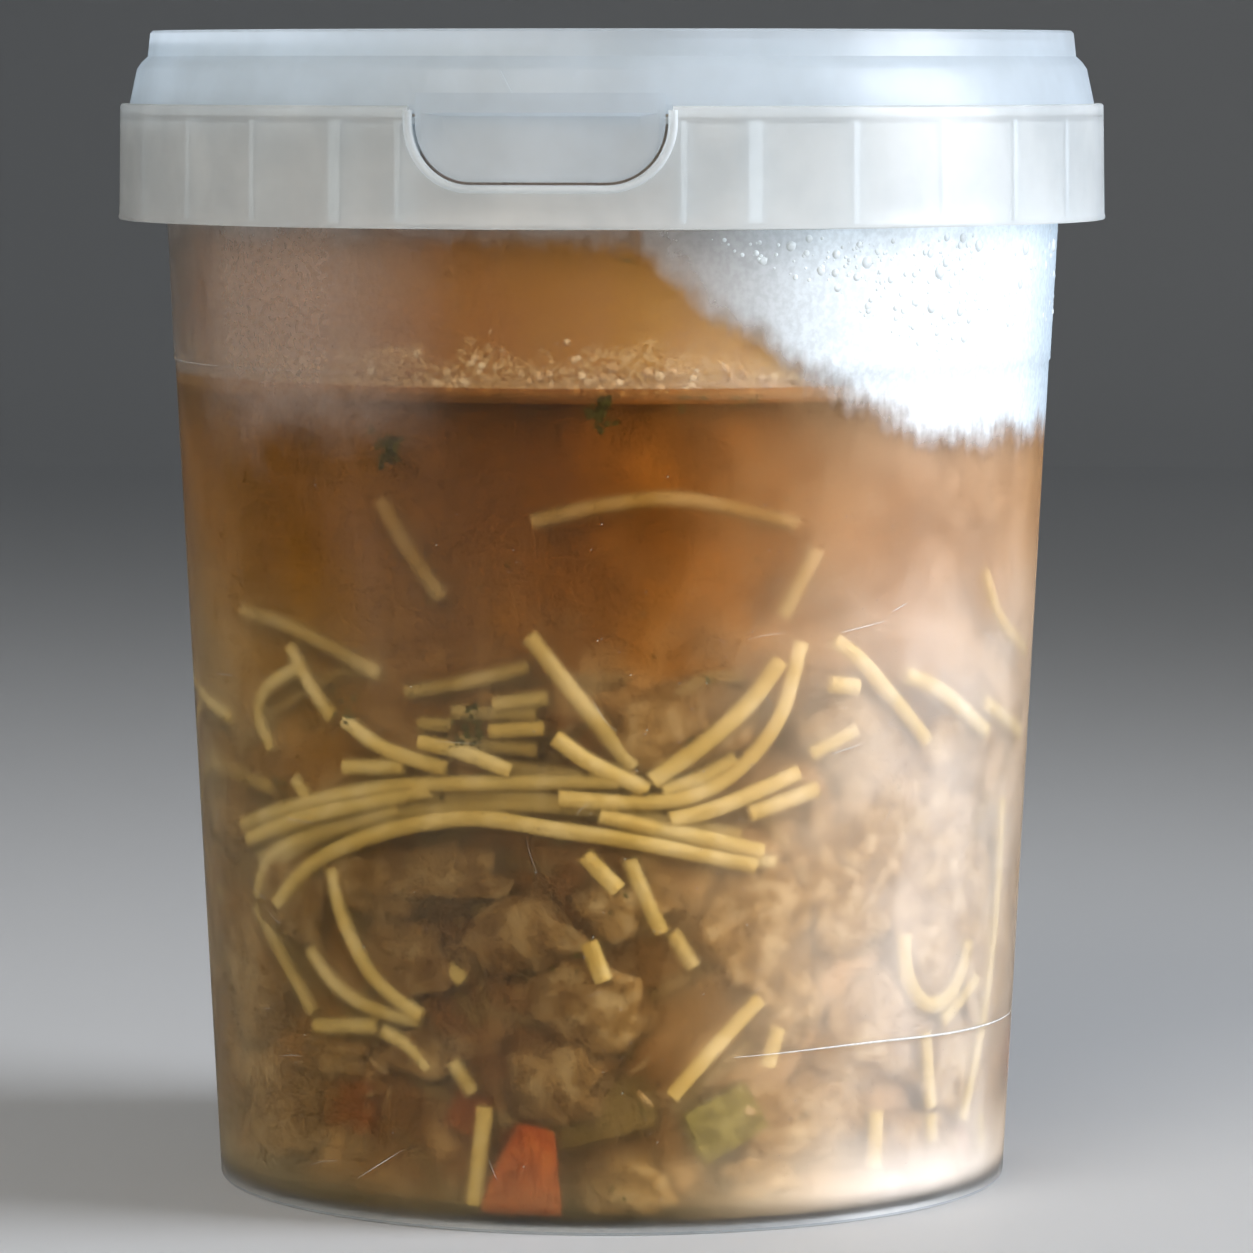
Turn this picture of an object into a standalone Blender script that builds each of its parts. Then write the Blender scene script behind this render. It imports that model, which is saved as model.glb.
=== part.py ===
"""Chicken noodle soup in a one-litre moulded tub with a press-on lid.

Three solids, in metres, +Z up, standing on z = 0 with the tub's axis on Z and the
finger tab towards -Y:

tub   tapered body, foot ring, rim, and a ribbed collar with a D-shaped notch
lid   stacking ring, sloped skirt, and the scooped finger tab that hangs in the notch
soup  the filling, up to its level
"""

from math import cos, pi, radians, sin, sqrt

import bmesh
import bpy

MM = 0.001
SEGMENTS = 64            # facets round every turned shape
GAP = 0.3                # clearance between touching pieces

# The tub's body
FOOT_R = 47.4            # outer radius at the base
BODY_TAPER = 0.0511      # growth of the radius for each millimetre of height
WALL = 0.8
FLOOR_Z = 1.7            # the inside floor
FLOOR_T = 0.9
FOOT_RING_W = 1.5
CORNER_R = 2.2           # the round where the wall meets the floor, inside
STEP_Z = 98.4            # a fine moulded line round the body, above the filling
STEP_OUT = 0.15

# The tub's rim, inside the lid
RIM_Z = 136.0
RIM_BEAD = 0.2

# The collar that hides the lid's edge
COLLAR_R = 59.1          # outer radius at its lower edge
COLLAR_TOP_R = 58.8
COLLAR_Z = 115.2         # the lower edge
LIP_Z = 128.95           # the rounded top lip
COLLAR_T = 0.85
SHELF_Z = 127.7          # top of the shelf that joins the collar to the body
SHELF_T = 0.8

# The collar's ribs
RIB_PITCH = 12           # degrees
RIB_FIRST = 2            # the notch takes the place of the ribs nearest the tab
RIB_T = 0.7
RIB_WIDE_T = 1.6         # the first rib on either side of the tab
RIB_Z = 115.9
POCKET_TURN = 16.0       # degrees from the tab to the walls beside the notch

# The D-shaped notch and the tab in it, with widths measured round the collar
NOTCH_HALF = 15.3
NOTCH_Z = 119.6
NOTCH_CORNER = 7.5
BEAD_R = 0.5
TAB_CLEAR = 0.85         # from the notch's edge to the tab's edge
TAB_R = 58.35            # outer face of the tab
TAB_T = 1.9
TAB_TOP_Z = 130.4
SCOOP_TOP_Z = 128.2
SCOOP_DEPTH = 1.25
SCOOP_EDGE = 0.8
SCOOP_SLOPE = 2.0

# The lid
LID_TOP_Z = 137.55
LID_T = 0.8
LID_FOOT_R = 57.65
STACK_R = 55.3           # outer radius of the stacking ring
PANEL_Z = 132.2
PANEL_T = 0.9
PLUG_IN_R = 51.9         # the plug that seals inside the rim
PLUG_FOOT_Z = 129.4
PAD_OUT = 0.3            # two low pads above the tab, with a gap between them

# The filling
SOUP_Z = 96.7


def body_r(z):
    """Outer radius of the tub's body at a height."""
    return FOOT_R + BODY_TAPER * z + (STEP_OUT if z > STEP_Z else 0.0)


def arc(centre_r, centre_z, radius, start, end, steps):
    """Points of an arc in a turned outline, with angles in degrees from +R towards +Z."""
    turns = [radians(start + (end - start) * i / steps) for i in range(steps + 1)]
    return [(centre_r + radius * cos(t), centre_z + radius * sin(t)) for t in turns]


def add_mesh(name, points, faces):
    """An object from points in millimetres."""
    mesh = bpy.data.meshes.new(name)
    mesh.from_pydata([(x * MM, y * MM, z * MM) for x, y, z in points], [], faces)
    work = bmesh.new()
    work.from_mesh(mesh)
    bmesh.ops.recalc_face_normals(work, faces=work.faces)
    work.to_mesh(mesh)
    work.free()
    obj = bpy.data.objects.new(name, mesh)
    bpy.context.collection.objects.link(obj)
    return obj


def turned(name, outline):
    """A turned solid, from an outline of (radius, z) points that starts and ends on the axis."""
    points, rings = [], []
    for r, z in outline:
        first = len(points)
        if r == 0:
            points.append((0, 0, z))
            rings.append([first] * SEGMENTS)
            continue
        turns = [2 * pi * i / SEGMENTS for i in range(SEGMENTS)]
        points += [(r * cos(t), r * sin(t), z) for t in turns]
        rings.append(list(range(first, first + SEGMENTS)))
    faces = []
    for low, high in zip(rings, rings[1:]):
        for i in range(SEGMENTS):
            j = (i + 1) % SEGMENTS
            corners = [low[i], low[j], high[j], high[i]]
            faces.append(list(dict.fromkeys(corners)))
    return add_mesh(name, points, faces)


def wrap(along, z, radius):
    """A point at a distance round the collar from the tab's middle, on a given radius."""
    return (radius * sin(along / COLLAR_R), -radius * cos(along / COLLAR_R), z)


def d_edge(half, bottom, corner):
    """The notch's D as (along, z) points: a flat bottom between two round corners."""
    left = arc(corner - half, bottom + corner, corner, 180, 270, 8)
    flat = [((half - corner) * i / 3, bottom) for i in (-2, -1, 0, 1, 2)]
    right = arc(half - corner, bottom + corner, corner, 270, 360, 8)
    return left + flat + right


def d_face(half, bottom, corner, top, radius):
    """A D-shaped face on the collar's curve, as columns of (lower, upper) points."""
    return [(wrap(a, z, radius), wrap(a, top, radius)) for a, z in d_edge(half, bottom, corner)]


def curved_solid(name, front, back):
    """A solid between two faces, each given as columns of (lower, upper) points."""
    points = [point for side in (front, back) for column in side for point in column]
    n = 2 * len(front)
    faces = [[0, 1, n + 1, n], [n - 2, 2 * n - 2, 2 * n - 1, n - 1]]
    for i in range(0, n - 2, 2):
        faces += [[i, i + 2, i + 3, i + 1], [n + i + 1, n + i + 3, n + i + 2, n + i]]
        faces += [[i, n + i, n + i + 2, i + 2], [i + 1, i + 3, n + i + 3, n + i + 1]]
    return add_mesh(name, points, faces)


def boolean(obj, other, operation):
    """Joins or cuts an object with a helper, which is then hidden. Its faces are made flat first."""
    obj.modifiers.new("Triangulate", "TRIANGULATE")
    modifier = obj.modifiers.new(other.name, "BOOLEAN")
    modifier.operation = operation
    modifier.solver = "EXACT"
    modifier.object = other
    other.hide_render = True
    other.display_type = "WIRE"


def plastic(name, colour, roughness, alpha):
    """A plain Principled material."""
    material = bpy.data.materials.new(name)
    material.use_nodes = True
    shader = material.node_tree.nodes["Principled BSDF"]
    shader.inputs["Base Color"].default_value = (*colour, 1)
    shader.inputs["Roughness"].default_value = roughness
    shader.inputs["Metallic"].default_value = 0.0
    shader.inputs["Alpha"].default_value = alpha
    return material


def finish(obj, material):
    """Gives a node its material and smooth shading with sharp edges."""
    obj.data.materials.append(material)
    obj.data.shade_smooth()
    obj.data.set_sharp_from_angle(angle=radians(35))


def tub_outline():
    """Foot, body, shelf, collar, rim and inside, from the axis out and back to it."""
    base_z = FLOOR_Z - FLOOR_T
    ring_in = FOOT_R - FOOT_RING_W
    collar_in = COLLAR_R - COLLAR_T
    lip_in = COLLAR_TOP_R - COLLAR_T
    inner_foot_r = body_r(FLOOR_Z) - WALL
    outline = [(0, base_z), (ring_in - 0.2, base_z), (ring_in, 0.0), (FOOT_R - 0.35, 0.0)]
    outline += [(body_r(0.4), 0.4), (body_r(STEP_Z - 0.1), STEP_Z - 0.1)]
    outline += [(body_r(STEP_Z + 0.1), STEP_Z + 0.1), (body_r(SHELF_Z - SHELF_T), SHELF_Z - SHELF_T)]
    outline += [(lip_in, SHELF_Z - SHELF_T), (collar_in, COLLAR_Z + 0.3), (collar_in + 0.2, COLLAR_Z)]
    outline += [(COLLAR_R - 0.1, COLLAR_Z), (COLLAR_R, COLLAR_Z + 0.25), (COLLAR_R - 0.1, COLLAR_Z + 0.7)]
    outline += arc(COLLAR_TOP_R - 0.4, LIP_Z - 0.4, 0.4, 0, 180, 4)
    outline += [(lip_in, SHELF_Z), (body_r(SHELF_Z) + 0.05, SHELF_Z)]
    rim_r = body_r(SHELF_Z)
    outline += [(rim_r, RIM_Z - 1.9), (rim_r + RIM_BEAD, RIM_Z - 1.3), (rim_r + RIM_BEAD, RIM_Z - 0.6)]
    outline += [(rim_r, RIM_Z), (rim_r - WALL + 0.25, RIM_Z), (rim_r - WALL, RIM_Z - 0.3)]
    outline += [(rim_r - WALL, SHELF_Z), (body_r(STEP_Z) - WALL, STEP_Z)]
    outline += arc(inner_foot_r - CORNER_R, FLOOR_Z + CORNER_R, CORNER_R, 0, -90, 4)
    return outline + [(0, FLOOR_Z)]


def collar_ribs():
    """Upright plates between the body and the collar, below the shelf, as one mesh."""
    last = 360 // RIB_PITCH - RIB_FIRST
    plates = [(-POCKET_TURN, RIB_T), (POCKET_TURN, RIB_T)]
    for step in range(RIB_FIRST, last + 1):
        plates.append((step * RIB_PITCH, RIB_WIDE_T if step in (RIB_FIRST, last) else RIB_T))
    near, far = body_r(RIB_Z) - WALL / 2, COLLAR_TOP_R - COLLAR_T / 2
    points, faces = [], []
    for turn, thickness in plates:
        c, s = cos(radians(turn)), sin(radians(turn))
        first = len(points)
        for z in (RIB_Z, SHELF_Z - SHELF_T / 2):
            for out, side in ((near, -1), (far, -1), (far, 1), (near, 1)):
                x, y = side * thickness / 2, -out
                points.append((x * c - y * s, x * s + y * c, z))
        sides = [[i, (i + 1) % 4, 4 + (i + 1) % 4, 4 + i] for i in range(4)]
        faces += [[first + i for i in face] for face in ([0, 1, 2, 3], [7, 6, 5, 4], *sides)]
    return add_mesh("ribs_helper", points, faces)


def notch_bead():
    """The thick round edge of the notch, following the collar's curve."""
    top = LIP_Z - 0.45
    path = [(-NOTCH_HALF, top)] + d_edge(NOTCH_HALF, NOTCH_Z, NOTCH_CORNER) + [(NOTCH_HALF, top)]
    centre_r = COLLAR_R - COLLAR_T / 2 - 0.1
    sides = 8
    points, faces = [], []
    for i, (along, z) in enumerate(path):
        before, after = path[max(i - 1, 0)], path[min(i + 1, len(path) - 1)]
        run, rise = after[0] - before[0], after[1] - before[1]
        length = sqrt(run**2 + rise**2)
        for k in range(sides):
            turn = 2 * pi * k / sides
            across, out = BEAD_R * cos(turn), BEAD_R * sin(turn)
            points.append(wrap(along - across * rise / length, z + across * run / length, centre_r + out))
    for i in range(len(path) - 1):
        for k in range(sides):
            m = (k + 1) % sides
            faces.append([i * sides + k, i * sides + m, (i + 1) * sides + m, (i + 1) * sides + k])
    end = (len(path) - 1) * sides
    faces += [list(range(sides)), [end + k for k in range(sides)]]
    return add_mesh("bead_helper", points, faces)


def notch_cutter():
    """The space of the notch, through the collar and the shelf but not the body."""
    size = NOTCH_HALF, NOTCH_Z, NOTCH_CORNER, LIP_Z + 1
    return curved_solid("notch_helper", d_face(*size, COLLAR_R + 1), d_face(*size, body_r(SHELF_Z) + 1.2))


def make_tub():
    """The tub is one moulding: body, foot, rim, shelf, ribbed collar and beaded notch."""
    tub = turned("tub", tub_outline())
    boolean(tub, collar_ribs(), "UNION")
    boolean(tub, notch_cutter(), "DIFFERENCE")
    boolean(tub, notch_bead(), "UNION")
    finish(tub, plastic("translucent_polypropylene", (0.72, 0.74, 0.74), 0.28, 0.45))


def skirt_r(z):
    """Outer radius of the lid's sloped skirt at a height."""
    low, high = LID_FOOT_R, STACK_R + 1.5
    return low + (high - low) * (z - (LIP_Z + 0.1)) / (133.0 - (LIP_Z + 0.1))


def lid_outline():
    """Top panel, stacking ring and skirt outside, then back along the inside."""
    foot_z = SHELF_Z + GAP + 0.05
    plug_out = PLUG_IN_R + LID_T
    under = LID_TOP_Z - 1.2
    outline = [(0, PANEL_Z + 0.4), (43.2, PANEL_Z + 0.4), (44.0, PANEL_Z), (PLUG_IN_R - 0.7, PANEL_Z)]
    outline += [(PLUG_IN_R, PANEL_Z + 0.7), (PLUG_IN_R + 0.1, LID_TOP_Z - 0.3), (PLUG_IN_R + 0.4, LID_TOP_Z)]
    outline += [(STACK_R - 0.4, LID_TOP_Z), (STACK_R - 0.1, LID_TOP_Z - 0.3), (STACK_R + 0.2, 134.5)]
    outline += [(STACK_R + 0.95, 133.8), (skirt_r(133.0), 133.0), (skirt_r(LIP_Z + 0.1), LIP_Z + 0.1)]
    outline += [(LID_FOOT_R - 0.05, foot_z), (LID_FOOT_R - LID_T + 0.05, foot_z)]
    outline += [(skirt_r(132.8) - LID_T, 132.8), (STACK_R - 0.5, 134.2), (STACK_R - LID_T, under)]
    outline += [(plug_out, under), (plug_out, PLUG_FOOT_Z + 0.6), (plug_out - 0.2, PLUG_FOOT_Z)]
    return outline + [(PLUG_IN_R, PLUG_FOOT_Z), (PLUG_IN_R - 0.3, PANEL_Z - PANEL_T), (0, PANEL_Z - PANEL_T)]


def finger_tab():
    """A D-shaped plate that follows the collar's curve, with a scoop for the fingertip."""
    half, low, corner = NOTCH_HALF - TAB_CLEAR, NOTCH_Z + TAB_CLEAR, NOTCH_CORNER - TAB_CLEAR
    size = half, low, corner, TAB_TOP_Z
    tab = curved_solid("tab_helper", d_face(*size, TAB_R), d_face(*size, TAB_R - TAB_T))

    def inset(shrink, top, radius):
        return d_face(half - shrink, low + shrink, corner - shrink, top, radius)

    mouth = inset(SCOOP_EDGE - 0.3, SCOOP_TOP_Z, TAB_R + 0.2)
    bottom = inset(SCOOP_EDGE + SCOOP_SLOPE, SCOOP_TOP_Z - 0.4, TAB_R - SCOOP_DEPTH)
    boolean(tab, curved_solid("scoop_helper", mouth, bottom), "DIFFERENCE")
    return tab


def skirt_pad(side):
    """A low pad on the skirt above one half of the tab."""
    low, high = TAB_TOP_Z - 0.2, 132.9
    columns = []
    for i in range(5):
        share = i / 4
        columns.append((side * (3.0 + 10.9 * share), side * (4.6 + 8.4 * share)))
    faces = []
    for out in (PAD_OUT, -LID_T / 2):
        faces.append([(wrap(a, low, skirt_r(low) + out), wrap(b, high, skirt_r(high) + out))
                      for a, b in columns])
    return curved_solid("pad_helper", *faces)


def make_lid():
    """The lid is one moulding: panel, plug, stacking ring, skirt, pads and finger tab."""
    lid = turned("lid", lid_outline())
    boolean(lid, finger_tab(), "UNION")
    boolean(lid, skirt_pad(-1), "UNION")
    boolean(lid, skirt_pad(1), "UNION")
    finish(lid, plastic("frosted_polypropylene", (0.78, 0.82, 0.85), 0.35, 0.6))


def make_soup():
    """The filling follows the tub's inside, with a gap, up to its level."""
    corner = CORNER_R - GAP
    low = FLOOR_Z + GAP
    wall_r = body_r(low) - WALL - GAP
    outline = [(0, low)] + arc(wall_r - corner, low + corner, corner, -90, 0, 4)
    outline += [(body_r(SOUP_Z) - WALL - GAP, SOUP_Z), (0, SOUP_Z)]
    soup = turned("soup", outline)
    finish(soup, plastic("cloudy_broth", (0.24, 0.12, 0.035), 0.2, 1.0))


def main():
    for obj in list(bpy.data.objects):
        bpy.data.objects.remove(obj, do_unlink=True)
    make_tub()
    make_lid()
    make_soup()


main()
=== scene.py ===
"""Looks for the chicken noodle soup: a one-litre frosted tub with its press-on lid, full of cloudy
broth, noodles, chicken and vegetables.

Shapes are worked out in millimetres, with the tub's axis on Z and the finger tab towards -Y. A place
in the soup is given as a turn in degrees round the axis, from the tab towards +X, a height above the
base, and a depth in from the tub's inner wall.
"""

import random
from functools import partial
from math import cos, pi, radians, sin, sqrt

import bmesh
import bpy
from mathutils import Euler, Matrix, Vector, noise


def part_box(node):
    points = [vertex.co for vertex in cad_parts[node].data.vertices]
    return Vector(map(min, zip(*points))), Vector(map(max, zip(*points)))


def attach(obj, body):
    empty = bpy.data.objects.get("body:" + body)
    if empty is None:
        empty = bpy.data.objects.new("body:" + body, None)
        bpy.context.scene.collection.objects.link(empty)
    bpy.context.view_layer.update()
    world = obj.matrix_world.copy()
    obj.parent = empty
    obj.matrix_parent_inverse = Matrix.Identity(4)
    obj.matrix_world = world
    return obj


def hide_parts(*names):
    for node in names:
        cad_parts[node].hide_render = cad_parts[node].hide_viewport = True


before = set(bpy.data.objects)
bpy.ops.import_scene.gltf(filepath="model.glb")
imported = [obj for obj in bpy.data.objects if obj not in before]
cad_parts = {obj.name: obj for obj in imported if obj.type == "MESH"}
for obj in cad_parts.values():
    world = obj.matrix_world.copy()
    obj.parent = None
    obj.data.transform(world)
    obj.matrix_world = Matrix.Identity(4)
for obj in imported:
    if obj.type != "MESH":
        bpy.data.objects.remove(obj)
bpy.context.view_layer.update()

MM = 0.001

# The moulding's sizes, as in the CAD part
FOOT_R, BODY_TAPER, WALL = 47.4, 0.0511, 0.8
FLOOR_Z, FLOOR_T, FOOT_RING_W, CORNER_R = 1.7, 0.9, 1.5, 2.2
STEP_Z, STEP_OUT = 98.4, 0.15
RIM_Z, RIM_BEAD = 136.0, 0.2
COLLAR_R, COLLAR_TOP_R, COLLAR_Z, LIP_Z, COLLAR_T = 59.1, 58.8, 115.2, 128.95, 0.85
SHELF_Z, SHELF_T = 127.7, 0.8
RIB_PITCH, RIB_FIRST, RIB_T, RIB_WIDE_T, RIB_Z, POCKET_TURN = 12, 2, 0.7, 1.6, 115.9, 16.0
NOTCH_HALF, NOTCH_Z, NOTCH_CORNER, BEAD_R = 15.3, 119.6, 7.5, 0.5
TAB_CLEAR, TAB_R, TAB_T, TAB_TOP_Z = 0.85, 58.35, 1.9, 130.4
SCOOP_TOP_Z, SCOOP_DEPTH, SCOOP_EDGE, SCOOP_SLOPE = 128.2, 1.25, 0.8, 2.0
LID_T, LID_FOOT_R, STACK_R = 0.8, 57.65, 55.3
PANEL_Z, PANEL_T, PLUG_IN_R, PLUG_FOOT_Z, PAD_OUT = 132.2, 0.9, 51.9, 129.4, 0.3
LID_TOP_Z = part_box("lid")[1].z / MM
SOUP_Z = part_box("soup")[1].z / MM


# Shapes

def body_r(z):
    """Outer radius of the tub's wall at a height."""
    return FOOT_R + BODY_TAPER * z + (STEP_OUT if z > STEP_Z else 0.0)


def inner_r(z):
    """Inner radius of the tub's wall at a height, with the round at the floor."""
    r = body_r(max(z, FLOOR_Z)) - WALL
    drop = FLOOR_Z + CORNER_R - z
    if drop > 0:
        r -= CORNER_R - sqrt(max(CORNER_R**2 - drop**2, 0.0))
    return r


def place(turn, z, depth):
    """A point in the soup."""
    r = inner_r(z) - depth
    return Vector((r * sin(radians(turn)), -r * cos(radians(turn)), z))


def arc(centre_r, centre_z, radius, start, end, steps):
    """Points of an arc in a turned outline, with angles in degrees from +R towards +Z."""
    turns = [radians(start + (end - start) * i / steps) for i in range(steps + 1)]
    return [(centre_r + radius * cos(t), centre_z + radius * sin(t)) for t in turns]


def add_piece(name, points, faces, material, smooth=40):
    """A mesh object from points in millimetres."""
    mesh = bpy.data.meshes.new(name)
    mesh.from_pydata([(p[0] * MM, p[1] * MM, p[2] * MM) for p in points], [], faces)
    work = bmesh.new()
    work.from_mesh(mesh)
    bmesh.ops.recalc_face_normals(work, faces=work.faces)
    work.to_mesh(mesh)
    work.free()
    obj = bpy.data.objects.new(name, mesh)
    bpy.context.scene.collection.objects.link(obj)
    if material:
        mesh.materials.append(material)
    mesh.shade_smooth()
    mesh.set_sharp_from_angle(angle=radians(smooth))
    return obj


def finer(outline, step):
    """An outline with points added so that none are further apart than step."""
    out = [outline[0]]
    for (r0, z0), (r1, z1) in zip(outline, outline[1:]):
        parts = max(1, round(sqrt((r1 - r0) ** 2 + (z1 - z0) ** 2) / step))
        out += [(r0 + (r1 - r0) * i / parts, z0 + (z1 - z0) * i / parts) for i in range(1, parts + 1)]
    return out


def turned(name, outline, material, closed=False, segments=180, smooth=40):
    """A turned shape from an outline of (radius, z) points. A closed outline makes a ring."""
    points, rings, faces = [], [], []
    for r, z in outline:
        first = len(points)
        if r <= 0:
            points.append((0, 0, z))
            rings.append([first] * segments)
            continue
        turns = [2 * pi * i / segments for i in range(segments)]
        points += [(r * cos(t), r * sin(t), z) for t in turns]
        rings.append(list(range(first, first + segments)))
    if closed:
        rings.append(rings[0])
    for low, high in zip(rings, rings[1:]):
        for i in range(segments):
            j = (i + 1) % segments
            faces.append(list(dict.fromkeys([low[i], low[j], high[j], high[i]])))
    return add_piece(name, points, faces, material, smooth)


def wrap(along, z, radius):
    """A point at a distance round the collar from the tab's middle, on a given radius."""
    return (radius * sin(along / COLLAR_R), -radius * cos(along / COLLAR_R), z)


def d_edge(half, bottom, corner):
    """The notch's D as (along, z) points: a flat bottom between two round corners."""
    left = arc(corner - half, bottom + corner, corner, 180, 270, 14)
    flat = [((half - corner) * i / 6, bottom) for i in range(-5, 6)]
    right = arc(half - corner, bottom + corner, corner, 270, 360, 14)
    return left + flat + right


def d_face(half, bottom, corner, top, radius):
    """A D-shaped face on the collar's curve, as columns of (lower, upper) points."""
    return [(wrap(a, z, radius), wrap(a, top, radius)) for a, z in d_edge(half, bottom, corner)]


def curved_solid(name, front, back):
    """A solid between two faces, each given as columns of (lower, upper) points."""
    points = [point for side in (front, back) for column in side for point in column]
    n = 2 * len(front)
    faces = [[0, 1, n + 1, n], [n - 2, 2 * n - 2, 2 * n - 1, n - 1]]
    for i in range(0, n - 2, 2):
        faces += [[i, i + 2, i + 3, i + 1], [n + i + 1, n + i + 3, n + i + 2, n + i]]
        faces += [[i, n + i, n + i + 2, i + 2], [i + 1, i + 3, n + i + 3, n + i + 1]]
    return add_piece(name, points, faces, None)


def boolean(obj, other, operation):
    """Joins or cuts an object with a helper, and takes the helper away."""
    obj.modifiers.new("Triangulate", "TRIANGULATE")
    cut = obj.modifiers.new(other.name, "BOOLEAN")
    cut.operation = operation
    cut.solver = "EXACT"
    cut.object = other
    scene_now = bpy.context.evaluated_depsgraph_get()
    mesh = bpy.data.meshes.new_from_object(obj.evaluated_get(scene_now))
    mesh.name = obj.name
    obj.modifiers.clear()
    obj.data = mesh
    bpy.data.objects.remove(other)
    mesh.shade_smooth()
    mesh.set_sharp_from_angle(angle=radians(35))


def smooth_path(points, step):
    """Points at even steps along a smooth curve through the given points."""
    ends = [points[0] * 2 - points[1], *points, points[-1] * 2 - points[-2]]
    curve = []
    for a, b, c, d in zip(ends, ends[1:], ends[2:], ends[3:]):
        parts = max(2, round((c - b).length / step))
        for i in range(parts):
            t = i / parts
            curve.append(0.5 * (2 * b + (c - a) * t + (2 * a - 5 * b + 4 * c - d) * t**2
                                + (3 * b - a - 3 * c + d) * t**3))
    return curve + [points[-1]]


def add_tube(points, faces, path, width, sides=10, flat=1.0, taper=0.0):
    """Adds a round tube with square-cut ends along a path, to lists of points and faces."""
    first, last = len(points), len(path) - 1
    for i, here in enumerate(path):
        run = (path[min(i + 1, last)] - path[max(i - 1, 0)]).normalized()
        out = Vector((here.x, here.y, 0)).normalized()
        across = run.cross(out).normalized()
        up = across.cross(run).normalized()
        half = width / 2 * (1 - taper * abs(2 * i / last - 1) ** 2)
        for k in range(sides):
            turn = 2 * pi * k / sides
            points.append(here + across * (half * cos(turn)) + up * (half * flat * sin(turn)))
    for i in range(last):
        for k in range(sides):
            m = (k + 1) % sides
            low, high = first + i * sides, first + (i + 1) * sides
            faces.append([low + k, low + m, high + m, high + k])
    end = first + last * sides
    faces += [[first + k for k in reversed(range(sides))], [end + k for k in range(sides)]]


def add_lump(points, faces, centre, size, seed, rough, grain, detail=4):
    """Adds an uneven lump, pressed flat where it meets the wall. Size is across, up and deep."""
    ball = bmesh.new()
    bmesh.ops.create_icosphere(ball, subdivisions=detail, radius=1)
    first = len(points)
    out = Vector((centre.x, centre.y, 0)).normalized()
    across = Vector((-out.y, out.x, 0))
    for vert in ball.verts:
        way = vert.co.normalized()
        shift = Vector((seed * 7.3, seed * 3.1, seed * 1.7))
        wide = noise.fractal(way * 1.3 + shift, 1.0, 2.0, 3)
        fine = noise.fractal(way * 3.0 + shift, 1.0, 2.1, 3)
        reach = 1 + rough * 2 * wide + grain * fine
        spot = centre + across * (way.x * size[0] * reach) + out * (way.y * size[2] * reach)
        spot.z += way.z * size[1] * reach
        spot.z = min(max(spot.z, FLOOR_Z + 0.4), SOUP_Z - 0.3)
        limit = inner_r(spot.z) - 1.0 - 0.3 * fine
        reached = sqrt(spot.x**2 + spot.y**2)
        if reached > limit:
            spot.x *= limit / reached
            spot.y *= limit / reached
        points.append(spot)
    faces += [[first + v.index for v in face.verts] for face in ball.faces]
    ball.free()


# Materials

def colour(code):
    """Linear colour of an sRGB hex code."""
    values = [int(code[i:i + 2], 16) / 255 for i in (0, 2, 4)]
    return tuple(v / 12.92 if v <= 0.04045 else ((v + 0.055) / 1.055) ** 2.4 for v in values) + (1.0,)


def add_node(tree, kind, *values, out=None, stops=None, **settings):
    """Adds a shader node. Its inputs are given in order, or by name in a dictionary: a number, a hex
    colour or another node's output. Colours are mixed and ranges are smooth unless settings say so."""
    made = tree.nodes.new("ShaderNode" + kind)
    usual = {"Mix": {"data_type": "RGBA"}, "MapRange": {"interpolation_type": "SMOOTHSTEP"}}
    for key, value in {**usual.get(kind, {}), **settings}.items():
        setattr(made, key, value)
    for i, (at, shade) in enumerate(stops or []):
        stop = made.color_ramp.elements[i] if i < 2 else made.color_ramp.elements.new(at)
        stop.position = at
        stop.color = colour(shade)
    order = (0, 6, 7) if kind == "Mix" else range(len(values))
    inputs = values[0] if isinstance(values[0], dict) else dict(zip(order, values))
    for key, value in inputs.items():
        if isinstance(value, bpy.types.NodeSocket):
            tree.links.new(value, made.inputs[key])
        else:
            made.inputs[key].default_value = colour(value) if isinstance(value, str) else value
    if made.outputs:
        return made.outputs[(2 if kind == "Mix" else 0) if out is None else out]


def new_material(name):
    """An empty node material, and the function that adds nodes to it."""
    made = bpy.data.materials.new(name)
    made.use_nodes = True
    made.node_tree.nodes.clear()
    return made, partial(add_node, made.node_tree)


def let_light_in(add, shader, tint):
    """Lamps light what lies behind this clear surface directly, as they do through thin plastic."""
    ray = add("LightPath", {}, out=1)
    return add("MixShader", ray, shader, add("BsdfTransparent", tint))


FRONT = radians(8)       # the front view stands this far round from the tab


def spot(add):
    """Where a point is: its place in mm, its height, its depth in from the wall, and its side,
    which runs from 0 at the left of the front view to 1 at the right."""
    mm = add("VectorMath", {0: add("TexCoord", {}, out=3), 3: 1000.0}, operation="SCALE")
    z = add("SeparateXYZ", mm, out=2)
    flat = add("VectorMath", mm, (1.0, 1.0, 0.0), operation="MULTIPLY")
    r = add("VectorMath", flat, out=1, operation="LENGTH")
    wall = add("Math", z, BODY_TAPER, FOOT_R - WALL, operation="MULTIPLY_ADD")
    depth = add("Math", wall, r, operation="SUBTRACT")
    along = add("VectorMath", flat, (cos(FRONT), sin(FRONT), 0.0), out=1, operation="DOT_PRODUCT")
    side = add("Math", add("Math", along, r, operation="DIVIDE"), 0.5, 0.5, operation="MULTIPLY_ADD")
    return {"mm": mm, "z": z, "depth": depth, "side": side}


def clouds(add, here, size, stretch=(1.0, 1.0, 1.0), detail=3.0, warp=0.0):
    """Soft blotches from 0 to 1, of about the given size in mm."""
    scaled = add("VectorMath", here["mm"], [s / size for s in stretch], operation="MULTIPLY")
    return add("TexNoise", {"Vector": scaled, "Scale": 1.0, "Detail": detail, "Roughness": 0.55,
                            "Distortion": warp})


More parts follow.
